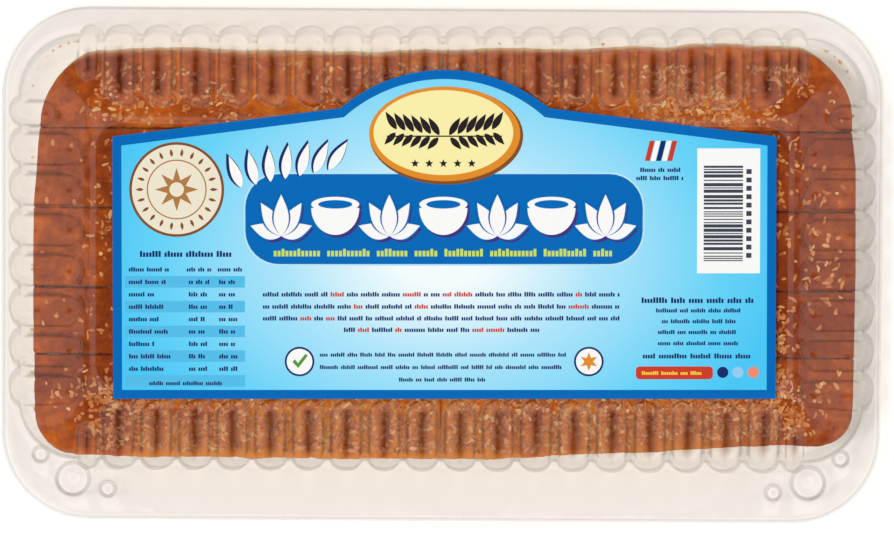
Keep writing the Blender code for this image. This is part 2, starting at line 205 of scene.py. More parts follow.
pack = {
    "halfLength": 129.6, "front": -59.8, "back": 70.1, "radius": 18.5,    # walls, along the valleys
    "flangeHalfLength": 135.0, "flangeHalfDepth": 79.0, "flangeRadius": 27.0,
    "rimWidth": 1.5, "rimDrop": 1.1, "rimPlaces": (0.0, 0.3, 0.7, 1.2, 1.7),
    "draft": 1.2, "leastRadius": 1.2, "sheet": 0.4,
    "foot": 0.3, "footPlaces": (0.15, 0.55, 1.0),   # fillet where wall meets flange
    "rimShadeLine": 0.6, "wallShadeLine": 0.6,      # strength of the painted shade line at the rim and at the walls' feet
}
flute = {
    "depth": 3.0, "raise": 1.8, "run": 20.6, "cornerRun": 12.6,
    "longCount": 18, "longPitch": 11.56, "sideCount": 7, "sidePitch": 12.3, "sideFrom": -43.8,
    "longCorner": 7.5, "sideCorner": 9.5, "cornerStep": 1.6,
    "fill": 0.41,                # half width as a share of the pitch
    "crown": 2.4,                # how flat the top of a flute is on the deck
    "footShadeLine": (0.97, 0.07), "crestShadeLine": 0.34,    # place and width of the painted shade lines, in half widths
    "crestShadeFrom": (1.5, 6.5),     # distances in from the wall between which the crest's painted shadow fades in
    "sampleAngles": (0, 12, 24, 37, 50, 64, 78),    # places across half a flute, cos of each in half widths
}
sideLeg = pack["back"] - pack["front"] - 2 * pack["radius"]
arcLeg = math.pi / 2 * pack["radius"]
longLeg = 2 * (pack["halfLength"] - pack["radius"])
legs = np.array([sideLeg, arcLeg, longLeg, arcLeg] * 2)
legStarts = np.concatenate([[0], np.cumsum(legs)])
roundPack = legStarts[-1]


def outline(legShare, halfLength, front, back, radius):
    # corner centres joined by straight legs; place = centre + radius · (cos, sin) of the outward angle
    leg = np.floor(legShare).astype(int) % 8
    part = legShare - np.floor(legShare)
    x = np.asarray(halfLength) - radius + 0 * part
    low, high = front + radius + 0 * part, back - radius + 0 * part
    centreX = np.choose(leg, [x, x, x * (1 - 2 * part), -x, -x, -x, x * (2 * part - 1), x])
    centreY = np.choose(leg, [low + (high - low) * part, high, high, high,
                              high + (low - high) * part, low, low, low])
    angle = (leg // 2 + np.where(leg % 2, part, 0)) * math.pi / 2
    return np.stack([centreX + radius * np.cos(angle), centreY + radius * np.sin(angle)], -1), angle


def wallOutline(legShare, inset):
    # the walls' outline moved inwards, corner radius = radius - inset
    radius = np.maximum(pack["radius"] - inset, pack["leastRadius"])
    return outline(legShare, pack["halfLength"] - inset, pack["front"] + inset,
                   pack["back"] - inset, radius)[0]


def fluteList():
    # start, width and run of each flute by distance round the walls, which start low on the right side
    onBack = sideLeg + arcLeg + pack["halfLength"] - pack["radius"]
    firstSide = flute["sideFrom"] - pack["front"] - pack["radius"]
    right = [(firstSide + i * flute["sidePitch"], flute["sidePitch"], flute["run"])
             for i in range(flute["sideCount"])]
    halfRun = flute["longCount"] / 2 * flute["longPitch"]
    sideTop = firstSide + flute["sideCount"] * flute["sidePitch"]
    frontEnd = onBack + roundPack / 2 + halfRun
    right += [(sideTop, flute["sideCorner"], flute["cornerRun"]),
              (onBack - halfRun - flute["longCorner"], flute["longCorner"], flute["cornerRun"]),
              (frontEnd, flute["longCorner"], flute["cornerRun"])]
    left = [(2 * onBack - start - width, width, run) for start, width, run in right]
    back = [(onBack - halfRun + i * flute["longPitch"], flute["longPitch"], flute["run"])
            for i in range(flute["longCount"])]
    front = [(start + roundPack / 2, width, run) for start, width, run in back]
    return sorted((start % roundPack, width, run) for start, width, run in right + left + back + front)


flutes = fluteList()


def columnDistances():
    # samples crowd at the sides of each flute; the bare corners get even steps
    distances = []
    half = [flute["fill"] * math.cos(math.radians(angle)) for angle in flute["sampleAngles"]]
    places = [0.0] + [0.5 - h for h in half] + [0.5] + [0.5 + h for h in reversed(half)]
    for (start, width, run), following in zip(flutes, flutes[1:] + [(flutes[0][0] + roundPack, 0, 0)]):
        distances += [start + width * share for share in places]
        room = following[0] - start - width
        if room > flute["cornerStep"]:
            steps = math.ceil(room / flute["cornerStep"])
            distances += [start + width + room * step / steps for step in range(steps)]
    return np.array(distances) % roundPack


distances = columnDistances()
distances = np.roll(distances, -int(np.argmin(distances)))
legOf = np.clip(np.searchsorted(legStarts, distances, side="right") - 1, 0, 7)
shares = legOf + (distances - legStarts[legOf]) / legs[legOf]
outward = outline(shares, 1, -1, 1, 0.5)[1]         # angle that each column faces


def fluteReach(inset):
    # ρ = distance from the nearest flute's middle line over its half width; past (run - half) inwards the
    # distance is taken from the end of that line, so that each flute's inner end is round
    reach = np.ones_like(distances)
    for start, width, run in flutes:
        half = width * flute["fill"]
        aside = (distances - start - width / 2 + roundPack / 2) % roundPack - roundPack / 2
        reach = np.minimum(reach, np.hypot(aside, np.maximum(inset - (run - half), 0)) / half)
    return reach


def fluteShadeLines(inset):
    # painted shade lines: foot = e^-((ρ - place) / width)², painted crest shadow = e^-(ρ / width)² along the
    # two long sides
    reach = fluteReach(inset)
    place, width = flute["footShadeLine"]
    foot = np.exp(-((reach - place) / width) ** 2) * (reach < 1)
    crestShade = np.exp(-(reach / flute["crestShadeLine"]) ** 2) * np.sin(outward) ** 2
    return foot, crestShade * smooth(*flute["crestShadeFrom"], inset)


# on the walls a flute stands out by depth · √(1 - ρ²), on the deck it is raise · (1 - ρ^crown) high
atWall = fluteReach(np.zeros_like(distances))
onWall, onEdge = np.sqrt(1 - atWall ** 2), 1 - atWall ** flute["crown"]


def withHeight(flat, z):
    return np.concatenate([flat, np.broadcast_to(np.asarray(z, float), flat.shape[:1])[:, None]], -1)


def slabs(shapes):
    # each shape's outline at its low and its high z, joined by a wall and closed at both ends
    points, faces, first = [], [], 0
    for shape, low, high in shapes:
        count = len(shape)
        points += [withHeight(shape, low), withHeight(shape, high)]
        faces += gridFaces(2, count, first).tolist()
        faces += [list(range(first, first + count))[::-1], list(range(first + count, first + 2 * count))]
        first += 2 * count
    return np.concatenate(points), faces


def flangeRows(z):
    # the rim turns down by drop · (1 - g / width)², g = distance in from the edge, and not along the hinge
    rows = []
    for g in pack["rimPlaces"]:
        flat, angle = outline(shares, pack["flangeHalfLength"] - g, g - pack["flangeHalfDepth"],
                              pack["flangeHalfDepth"] - g, pack["flangeRadius"] - g)
        drop = pack["rimDrop"] * (1 - np.maximum(np.sin(angle), 0)) * max(1 - g / pack["rimWidth"], 0) ** 2
        rows.append(withHeight(flat, z - drop))
    around = withHeight(wallOutline(shares, np.full_like(distances, -flute["depth"] - pack["foot"])), z)
    return rows + [rows[-1] * (1 - t) + around * t for t in (0.5, 1.0)]


def footRows(z, up):
    # quarter round fillet: r (1 - sin a) outside the wall, up · r (1 - cos a) high
    rows = []
    for share in pack["footPlaces"]:
        turn = share * math.pi / 2
        out = pack["foot"] * (1 - math.sin(turn))
        flat = wallOutline(shares, -flute["depth"] * onWall - out)
        rows.append(withHeight(flat, z + up * pack["foot"] * (1 - math.cos(turn))))
    return rows


lid = {
    "flangeTop": 20.6, "deckTop": 40.9, "shoulder": 2.2,
    "sideSlope": 0.10, "longSlope": 0.035, "levelAt": 10.0,   # rise of the deck per mm inwards; deckTop here
    "wallPlaces": (0.4, 0.8), "shoulderPlaces": (0.0, 0.25, 0.5, 0.75, 1.0),
    "deckPlaces": (4.6, 6.6, 8.4, 9.6, 10.6, 11.3, 11.9, 12.35, 12.8, 14.0, 15.6, 16.8, 17.8, 18.6, 19.3,
                   19.8, 20.2, 20.6, 21.3),
    "straightFrom": 8.4,         # distance inwards from which the deck's rows no longer follow the flutes
    "plateauTop": 42.9, "plateauHalfLength": 105.5, "plateauFront": -36.4, "plateauBack": 44.7,
    "plateauRadius": 7.7,
    # how far outside the plateau's edge each row of its flank lies, and its share of the height
    "flank": ((1.5, 0.0), (1.1, 0.05), (0.8, 0.22), (0.3, 0.8), (0.0, 0.96), (-0.4, 1.0), (-1.2, 1.0)),
    "rimRow": 2, "wallRow": 8,   # rows that carry the painted shade lines
}


def makeLidSheet(material):
    # wall: inset = draft · share up - depth · S; shoulder: quarter round; deck: raise · S(inset) + slope
    rows = flangeRows(lid["flangeTop"]) + footRows(lid["flangeTop"], 1)
    shadeLines = {}
    edge = pack["draft"] + lid["shoulder"]
    low = lid["flangeTop"] + pack["foot"]
    slope = lid["longSlope"] + (lid["sideSlope"] - lid["longSlope"]) * np.cos(outward) ** 2
    high = lid["deckTop"] - lid["shoulder"] + slope * (edge - lid["levelAt"])
    for t in lid["wallPlaces"]:
        z = low + (high - low) * t + flute["raise"] * onEdge * t
        rows.append(withHeight(wallOutline(shares, pack["draft"] * t - flute["depth"] * onWall), z))
    for t in lid["shoulderPlaces"]:
        turn = t * (math.pi / 2 - slope)
        inset = pack["draft"] + lid["shoulder"] * (1 - np.cos(turn)) - flute["depth"] * onWall
        z = high + lid["shoulder"] * np.sin(turn) + flute["raise"] * onEdge
        rows.append(withHeight(wallOutline(shares, inset), z))
    for place in lid["deckPlaces"]:
        inset = place - flute["depth"] * onWall * (1 - smooth(edge, lid["straightFrom"], place))
        z = lid["deckTop"] + slope * (place - lid["levelAt"])
        z = z + flute["raise"] * (1 - fluteReach(inset) ** flute["crown"])
        shadeLines[len(rows)] = fluteShadeLines(inset)
        rows.append(withHeight(wallOutline(shares, inset), z))
    deckEnd = lid["deckTop"] + slope * (lid["deckPlaces"][-1] - lid["levelAt"])
    for grow, up in lid["flank"]:
        flat = outline(shares, lid["plateauHalfLength"] + grow, lid["plateauFront"] - grow,
                       lid["plateauBack"] + grow, lid["plateauRadius"] + grow)[0]
        rows.append(withHeight(flat, deckEnd + (lid["plateauTop"] - deckEnd) * up))
    # painted shade lines at the flutes' feet, the rim and the walls' feet, and painted shadow along the crests
    foot, crestShade = np.zeros((2, len(rows), len(distances)))
    for row, (footShadeLine, crestShadeLine) in shadeLines.items():
        foot[row], crestShade[row] = footShadeLine, crestShadeLine
    foot[lid["rimRow"]], foot[lid["wallRow"]] = pack["rimShadeLine"], pack["wallShadeLine"]
    return finishSheet("lidSheet", rows, material, "lid", "lid", {"foot": foot, "crestShade": crestShade})


tray = {
    "flangeTop": 19.85, "bendTop": 3.0, "bend": 2.0, "base": 0.42, "floorInset": 6.0,
    "wallPlaces": (0.33, 0.66, 1.0), "bendPlaces": (0.3, 0.6, 0.85, 1.0),
}


def makeTraySheet(material):
    # wall: inset = draft · share down - depth · S; bend: quarter round down to the flat base
    rows = flangeRows(tray["flangeTop"]) + footRows(tray["flangeTop"], -1)
    low, high = tray["bendTop"], tray["flangeTop"] - pack["foot"]
    for t in tray["wallPlaces"]:
        flat = wallOutline(shares, pack["draft"] * t - flute["depth"] * onWall)
        rows.append(withHeight(flat, high + (low - high) * t))
    for t in tray["bendPlaces"]:
        turn = t * math.pi / 2
        inset = pack["draft"] + tray["bend"] * (1 - math.cos(turn)) - flute["depth"] * onWall
        z = tray["base"] + (tray["bendTop"] - tray["base"]) * (1 - math.sin(turn))
        rows.append(withHeight(wallOutline(shares, inset), z))
    rows.append(withHeight(wallOutline(shares, np.full_like(distances, tray["floorInset"])), tray["base"]))
    return finishSheet("traySheet", rows, material, "base", "tray")


snaps = {
    "plug": (113.0, -66.6, 4.6, 2.9),              # x, y, radius, depth at the right; the left mirrors it
    "dimples": ((122.9, -59.0, 1.9, 1.3), (102.3, -69.6, 1.9, 1.3)),
    "sides": 48, "shadeLine": 1.6,              # strength of the painted shade ring round each cup
    "wall": 0.3, "deepFrom": 3.0,          # wall thickness; radius from which the floor has a raised middle
    "lip": ((0.8, 0.03), (0.35, 0.03), (0.1, -0.12), (0.0, -0.35)),    # out from the radius, height
    "lipUnder": ((0.3, -0.6), (0.4, -0.3), (0.8, -0.02)),
    "holeSides": 32, "holeGrow": 0.38, "holeHeights": (-0.9, 0.5),
}


def snapPlaces():
    return [(side * x, y, r, d) for side in (-1, 1) for x, y, r, d in (snaps["plug"],) + snaps["dimples"]]


def makeCups(name, z, grow, material, body):
    # profile turned round each snap's axis: lip on the sheet, wall, rounded floor with a raised middle
    points, faces, shadeLines = [], [], []
    turn = np.arange(snaps["sides"]) / snaps["sides"] * 2 * math.pi
    for x, y, radius, depth in snapPlaces():
        r, wall = radius + grow, snaps["wall"]
        floor = [(r - 0.25, -depth * 0.85), (r - 0.7, -depth)]
        if radius > snaps["deepFrom"]:
            floor += [(r * 0.62, -depth), (r * 0.56, -depth + 0.5), (0.3, -depth + 0.6)]
        else:
            floor += [(0.3, -depth)]
        top = [(r + out, height) for out, height in snaps["lip"]] + floor
        under = [(max(a - 0.02, 0.3), b - wall) for a, b in reversed(floor)]
        under = [(a if a < 1 else a + wall * 0.7, b) for a, b in under]
        under += [(r + out, height) for out, height in snaps["lipUnder"]]
        profile = np.array(top + under)
        ringPoints = np.stack([x + profile[:, :1] * np.cos(turn), y + profile[:, :1] * np.sin(turn),
                               z + profile[:, 1:] + 0 * turn], -1)
        first = sum(len(p) for p in points)
        count = len(profile)
        points.append(ringPoints.reshape(-1, 3))
        # painted shade ring on two rows of each cup's profile
        shadeLines.append(np.repeat(np.isin(np.arange(count), (2, 3)) * snaps["shadeLine"], snaps["sides"]))
        for i in list(range(len(top) - 1)) + list(range(len(top), count - 1)):
            faces += gridFaces(2, snaps["sides"], first + i * snaps["sides"]).tolist()
        a = first + (count - 1) * snaps["sides"]
        here = np.arange(snaps["sides"])
        beside = (here + 1) % snaps["sides"]
        faces += np.stack([a + here, a + beside, first + beside, first + here], -1).tolist()
        faces.append((first + (len(top) - 1) * snaps["sides"] + here).tolist())
        faces.append((first + len(top) * snaps["sides"] + here[::-1]).tolist())
    addMesh(name, np.concatenate(points), faces, material, body, {"foot": np.concatenate(shadeLines)})


def makeHoles(name, z, grow):
    # upright cylinders that open the sheet under each cup; they aren't shown
    turn = np.arange(snaps["holeSides"]) / snaps["holeSides"] * 2 * math.pi
    low, high = snaps["holeHeights"]
    circle = np.stack([np.cos(turn), np.sin(turn)], -1)
    points, faces = slabs([(circle * (radius + grow + snaps["holeGrow"]) + (x, y), z + low, z + high)
                           for x, y, radius, depth in snapPlaces()])
    mesh = bpy.data.meshes.new(name)
    mesh.from_pydata((points * mm).tolist(), [], faces)
    cutter = bpy.data.objects.new(name, mesh)
    bpy.context.scene.collection.objects.link(cutter)
    cutter.hide_render = True
    cutter.hide_viewport = True
    return cutter


def finishSheet(name, rows, material, body, node, values=None):
    # rows of points joined by quads, the middle closed by one face, and a wall grown inwards
    points = np.stack(rows)
    count = len(distances)
    faces = gridFaces(len(rows), count).tolist()
    faces.append(list(range((len(rows) - 1) * count, len(rows) * count)))
    piece = addMesh(name, points, faces, material, body, values)
    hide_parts(node)
    wall = piece.modifiers.new("Sheet", "SOLIDIFY")
    wall.thickness = pack["sheet"] * mm
    wall.offset = -1
    return piece


clear = clearSheet("clearSheet")
lidSheet = makeLidSheet(clear)
traySheet = makeTraySheet(clear)
makeCups("lidSnaps", lid["flangeTop"], 0.0, clear, "lid")
makeCups("traySnaps", tray["flangeTop"], 0.6, clear, "base")
print("clear sheets made")


cake = {
    "halfLength": 125.2, "cuts": (67.4, 42.6, 18.3, -6.0, -26.4, -57.3), "gap": 0.06,
    "bottom": 0.9, "top": 38.6, "topEdge": 0.7, "bottomEdge": 0.8,
    "corners": {-1: (20.0, 12.0), 1: (18.0, 10.0)}, "smallCorner": 0.4,    # back and front, each side
    "step": 0.62,                # spacing of the grid on top
    "wallSteps": 26, "edgeSteps": 5, "footSteps": 3, "underSteps": 8,      # points along the other parts
    "endSteps": (0.0, 0.12, 0.35, 0.7, 1.2), "endEase": 1.5,
    "capShares": (0.06, 0.14, 0.23, 0.33, 0.44, 0.55, 0.66, 0.77, 0.87, 0.95),
    "relief": ((16.0, 0.7), (4.4, 0.55), (1.7, 0.34)),   # cell and height of each size of unevenness
    "pores": ((2.3, 0.35), (0.95, 0.22)), "poreGain": 2.4,
    # how far the top's edge lies inside the foot's, by place along each side of the cake
    "insetBack": ((-125, 3.0), (-100, 3.0), (-77, 1.8), (-60, 3.0), (-25, 3.2), (5, 2.2), (23, 1.4),
                  (40, 2.0), (50, 1.2), (59, 0.2), (68, 1.0), (78, -0.2), (87, -0.8), (97, 0.0), (105, 0.0),
                  (125, 2.2)),
    "insetFront": ((-125, 0.8), (-105, 0.0), (-87, -0.4), (-60, -0.7), (20, -0.7), (32, 0.2), (41, 0.9),
                   (68, 1.8), (77, 2.8), (96, 3.6), (105, 4.2), (125, 4.0)),
    "insetLeft": ((-57, 1.6), (-40, 1.6), (-15, 0.9), (5, 0.8), (20, 1.0), (29, 1.8), (38, 2.3), (44, 3.0),
                  (67, 3.6)),
    "insetRight": ((-57, 0.8), (-40, -0.4), (0, -0.8), (32, -0.5), (42, 0.7), (67, 1.2)),
    "sideFrom": 12.0, "footShare": 0.9,   # height from which the sides draw in, and the share at their foot
    "wander": 0.35,              # unevenness of the edges
    "crustTo": 36.4,             # how far down the crust reaches on the cut faces
    "sidePale": (-4.0, 32.0),    # heights between which the outer sides brown
    "tones": {-1: (0.30, 0.62, 0.56, 0.60, 0.22), 1: (0.34, 0.92, 1.05, 1.00, 0.26)},  # back to front
    "endTones": (0.26, 0, 0, 0, 0.60), "endFrom": (84, 106),   # added towards the two ends of the cake
}


def crustRelief(x, y):
    # sum of noise over three cell sizes, each centred on 0
    points = np.stack([x, y, 0 * x], -1)
    return sum(high * (softNoise(points, cell, 7 + i) - 0.5) for i, (cell, high) in enumerate(cake["relief"]))


def poreDepth(points):
    # inward only: gain · height · noise⁴ for each cell size
    return sum(high * softNoise(points, cell, 21 + i) ** 4 * cake["poreGain"]
               for i, (cell, high) in enumerate(cake["pores"]))


def cornerPull(offset, radius):
    # how far a round corner draws the edge in: r - √(r² - (r - offset)²) within r of the end
    reach = np.clip(radius - offset, 0, radius)
    return radius - np.sqrt(np.maximum(radius ** 2 - reach ** 2, 0))


def sliceProfile(front, back):
    # rounded rectangle seen along X, from the back bottom corner round over the top; with outward normals
    def corner(cy, cz, r, start, steps):
        turn = start + np.linspace(0, math.pi / 2, steps)
        return np.stack([cy + r * np.cos(turn), cz + r * np.sin(turn), np.cos(turn), np.sin(turn)], -1)

    def run(a, b, normal, steps):
        t = np.linspace(0, 1, steps + 2)[1:-1, None]
        return np.concatenate([np.array(a) * (1 - t) + np.array(b) * t, np.tile(normal, (steps, 1))], -1)

    top, bottom, e, f = cake["top"], cake["bottom"], cake["topEdge"], cake["bottomEdge"]
    walls, edges, feet = cake["wallSteps"], cake["edgeSteps"], cake["footSteps"]
    across = int((back - front) / cake["step"])
    return np.concatenate([
        run((back, bottom + f), (back, top - e), (1, 0), walls),
        corner(back - e, top - e, e, 0, edges),
        run((back - e, top), (front + e, top), (0, 1), across),
        corner(front + e, top - e, e, math.pi / 2, edges),
        run((front, top - e), (front, bottom + f), (-1, 0), walls),
        corner(front + f, bottom + f, f, math.pi, feet),
        run((front + f, bottom), (back - f, bottom), (0, -1), cake["underSteps"]),
        corner(back - f, bottom + f, f, 1.5 * math.pi, feet)])


def makeSlice(name, node, side, row, material):
    # the profile is carried along X; near each end its width draws in round the corners; both ends are
    # closed by rings that shrink to the middle
    gap = cake["gap"] / 2
    front = cake["cuts"][row + 1] + (gap if row < 4 else 0)
    back = cake["cuts"][row] - (gap if row else 0)
    profile = sliceProfile(front, back)
    columns = len(profile)
    inner, outer, small = gap, cake["halfLength"], cake["smallCorner"]
    even = np.linspace(inner + 2, outer - 2, int((outer - inner) / (cake["step"] * 1.25)))
    ends = np.array(cake["endSteps"])
    along = np.concatenate([inner + ends, even, (outer - ends)[::-1]])
    backRadius = cake["corners"][side][0] if row == 0 else small
    frontRadius = cake["corners"][side][1] if row == 4 else small
    near, far = along - inner, outer - along
    high = back - cornerPull(near, small) - cornerPull(far, backRadius)
    low = front + cornerPull(near, small) + cornerPull(far, frontRadius)
    upShare = smooth(cake["sideFrom"], cake["top"], profile[:, 1])
    upShare = cake["footShare"] + (1 - cake["footShare"]) * upShare
    places = np.stack([side * along, 0 * along, 0 * along + row], -1)
    wander = cake["wander"] * 2 * (softNoise(places, 7.0, 90) - 0.5)
    backInset = np.interp(side * along, *zip(*cake["insetBack"])) + wander if row == 0 else 0 * along
    frontInset = np.interp(side * along, *zip(*cake["insetFront"])) + wander if row == 4 else 0 * along
    high = high[:, None] - backInset[:, None] * upShare
    low = low[:, None] + frontInset[:, None] * upShare
    share = (profile[:, 0] - front) / (back - front)
    y = low + (high - low) * share
    inset = np.interp(y, *zip(*cake["insetRight" if side > 0 else "insetLeft"])) * upShare
    x = side * (along[:, None] - inset * ((along - inner) / (outer - inner))[:, None] ** 3)
    ease = cake["endEase"]
    endEase = np.minimum(cornerPull(near, ease), ease) + np.minimum(cornerPull(far, ease), ease)
    upward = np.clip(profile[:, 3], 0, 1)
    z = profile[:, 1] - endEase[:, None] * upward
    points = np.stack([x, y, z], -1)
    pores = poreDepth(points) * np.clip(1 - upward * 0.8, 0, 1) * np.where(profile[:, 3] < -0.5, 0, 1)
    points[..., 1] -= pores * profile[:, 2]
    points[..., 2] += crustRelief(x, y) * smooth(0.3, 1.0, upward) - pores * 0.6 * upward
    caps = []
    for edge, direction in ((points[0], -1), (points[-1], 1)):
        middle = np.array([edge[0, 0], (edge[:, 1].min() + edge[:, 1].max()) / 2,
                           (cake["top"] + cake["bottom"]) / 2])
        rings = []
        for t in cake["capShares"]:
            shrunk = edge * (1 - t) + middle * t
            shrunk[:, 0] = edge[0, 0] - side * direction * poreDepth(shrunk)
            rings.append(shrunk)
        caps.append(rings)
    allPoints = np.stack(caps[0][::-1] + list(points) + caps[1])
    faces = gridFaces(len(allPoints), columns)
    last = (len(allPoints) - 1) * columns
    ngons = [list(range(columns)), list(range(last, last + columns))]
    flipped = 1 if side > 0 else 0
    ngons[flipped].reverse()
    if side > 0:
        faces = faces[:, ::-1]
    # the outer sides brown gradually upwards, and the crust is thin on the cut faces
    outside = (np.abs(allPoints[..., 0]) > cake["halfLength"] - 5) | (row == 0) & (profile[:, 2] > 0.3)
    outside |= (row == 4) & (profile[:, 2] < -0.3)
    uneven = softNoise(allPoints, 5.0, 40) - 0.5
    crust = smooth(0, 1.6, allPoints[..., 2] + 1.4 * uneven - cake["crustTo"])
    browned = smooth(*cake["sidePale"], allPoints[..., 2] + 7.0 * uneven)
    crust = np.where(outside, np.maximum(crust, 0.18 + 0.82 * browned), crust)
    towardsEnd = smooth(*cake["endFrom"], np.abs(allPoints[..., 0]))
    tone = cake["tones"][side][row] + cake["endTones"][row] * towardsEnd
    piece = addMesh(name, allPoints, faces.tolist() + ngons, material, "base",
                    {"crust": crust, "tone": tone})
    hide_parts(node)


spongeLook = {
    "noises": ((38, 3), (260, 4), (1300, 3)),      # scale and detail of the broad, middle and fine noise
    "shares": (0.55, 0.45),      # of broad and middle noise in the crust's blotches
    "crumb": ((0.3, (238, 204, 150)), (0.5, (250, 228, 180)), (0.7, (255, 242, 208))),
    "crust": ((0.34, (144, 56, 14)), (0.46, (172, 78, 20)), (0.56, (204, 98, 22)), (0.70, (228, 136, 40))),
    "golden": (-40, -58, 0.14),  # the crust is paler in front of the first line, fully so at the second
    "toneGain": (0.30, -0.16),   # darkening by the tone attribute, and its offset
    "cells": 620, "heights": (0.6, 0.55, 0.8),     # scale of the holes; fine noise, holes, middle noise
    "bump": (0.8, 0.0009),
}


def spongeMaterial():
    # colour = crumb or crust ramp by noise, mixed by the crust attribute; fine bumps by noise and cells
    material, tree, shader = newMaterial("sponge", 0.72, 0.08)
    where = newNode(tree, "TexCoord").outputs["Object"]
    broad, mid, fine = [newNode(tree, "TexNoise", Vector=where, Scale=scale, Detail=detail, Roughness=0.6)
                        .outputs["Fac"] for scale, detail in spongeLook["noises"]]
    broadShare, midShare = spongeLook["shares"]
    patch = mathNode(tree, "MULTIPLY_ADD", broad, broadShare, mathNode(tree, "MULTIPLY", mid, midShare))
    axes = newNode(tree, "SeparateXYZ", Vector=where)
    start, end, most = spongeLook["golden"]
    paler = newNode(tree, "MapRange", Value=axes.outputs["Y"], From_Min=start * mm, From_Max=end * mm,
                    To_Max=most)
    patch = mathNode(tree, "ADD", patch, paler.outputs["Result"])
    tone = mathNode(tree, "MULTIPLY_ADD", attributeOf(tree, "tone"), *spongeLook["toneGain"])
    patch = mathNode(tree, "SUBTRACT", patch, tone)
    mix = newNode(tree, "Mix")
    mix.data_type = "RGBA"
    tree.links.new(attributeOf(tree, "crust"), mix.inputs[0])
    tree.links.new(ramp(tree, mid, spongeLook["crumb"]), mix.inputs[6])
    tree.links.new(ramp(tree, patch, spongeLook["crust"]), mix.inputs[7])
    cells = newNode(tree, "TexVoronoi", Vector=where, Scale=spongeLook["cells"])
    height = 0.0
    for value, gain in zip((fine, cells.outputs["Distance"], mid), spongeLook["heights"]):
        height = mathNode(tree, "MULTIPLY_ADD", value, gain, height)
    strength, distance = spongeLook["bump"]
    bump = newNode(tree, "Bump", Strength=strength, Distance=distance, Height=height)
    feed(tree, shader.inputs["Normal"], bump.outputs[0])
    feed(tree, shader.inputs["Base Color"], mix.outputs[2])
    return material


sponge = spongeMaterial()
for rowIndex in range(5):
    makeSlice(f"spongeLeft{rowIndex + 1}", f"slice_left_{rowIndex + 1}", -1, rowIndex, sponge)
    makeSlice(f"spongeRight{rowIndex + 1}", f"slice_right_{rowIndex + 1}", 1, rowIndex, sponge)
print("cake slices made")


coconut = {
    "count": 9600, "length": (0.9, 3.0), "width": (0.6, 1.35), "thickness": (0.25, 0.5),
    "bend": (-0.35, 0.35), "curl": (-0.12, 0.3), "roll": (-0.35, 0.35), "pitch": (-0.16, 0.16), "lift": 0.08,
    "taper": (0.5, 1.0, 0.4),    # width at the one end, the middle and the other end
    "bareCorner": 20.0, "cornerRoom": 5.5, "cutRoom": 1.5, "middleRoom": 1.6, "endRoom": 3.0,
    "backRoom": 4.8, "frontRoom": (1.7, 4.5), "frontRoomAt": (40, 80),    # more room at the front's right
    "patches": (0.18, 0.38, 0.7),         # least chance, and the noise between which it rises to 1
    "leftShare": 0.3, "leftFrom": (-20, -30),     # chance left of x and behind y, on the smoother side
    "frontShare": 0.8, "frontFrom": (-30, -38),   # least chance on the front row
    "endShare": 0.2, "endFrom": (102, 112),       # chance near the two ends
    "colours": ((0.0, (244, 198, 138)), (0.3, (226, 156, 92)), (0.65, (210, 126, 62)), (1.0, (180, 94, 38))),
}


def coconutMaterial():
    # colour ramp by the tone attribute: cream to toasted gold
    material, tree, shader = newMaterial("coconut", 0.55)
    feed(tree, shader.inputs["Base Color"], ramp(tree, attributeOf(tree, "tone"), coconut["colours"]))
    return material


def onCake(x, y):
    # inside a slice's top, clear of its cuts and of the pack's corners
    least, more = coconut["frontRoom"]
    inside = (np.abs(x) > coconut["middleRoom"]) & (np.abs(x) < cake["halfLength"] - coconut["endRoom"])
    inside &= y < cake["cuts"][0] - coconut["backRoom"]
    inside &= y > cake["cuts"][-1] + least + more * smooth(*coconut["frontRoomAt"], x)
    for cut in cake["cuts"]:
        inside &= np.abs(y - cut) > coconut["cutRoom"]
    r = coconut["bareCorner"]
    outX = np.maximum(np.abs(x) - cake["halfLength"] + r, 0)
    for edge, sign in ((cake["cuts"][0] - r, 1), (cake["cuts"][-1] + r, -1)):
        outY = np.maximum((y - edge) * sign, 0)
        inside &= ~((outX > 0) & (outY > 0) & (np.hypot(outX, outY) > r - coconut["cornerRoom"]))
    return inside


def scatterOnCake(count, rng):
    # random places kept by a chance that follows soft patches and the side of the cake
    x = rng.uniform(-cake["halfLength"], cake["halfLength"], count * 6)
    y = rng.uniform(cake["cuts"][-1], cake["cuts"][0], count * 6)
    least, patchLow, patchHigh = coconut["patches"]
    patch = softNoise(np.stack([x, y, 0 * x], -1), 17.0, 60)
    chance = least + (1 - least) * smooth(patchLow, patchHigh, patch)
    chance = np.maximum(chance, coconut["frontShare"] * smooth(*coconut["frontFrom"], y))
    leftX, leftY = coconut["leftFrom"]
    chance *= np.where((x < leftX) & (y > leftY), coconut["leftShare"], 1.0)
    chance *= 1 - (1 - coconut["endShare"]) * smooth(*coconut["endFrom"], np.abs(x))
    keep = onCake(x, y) & (rng.random(len(x)) < chance)
    return x[keep][:count], y[keep][:count]


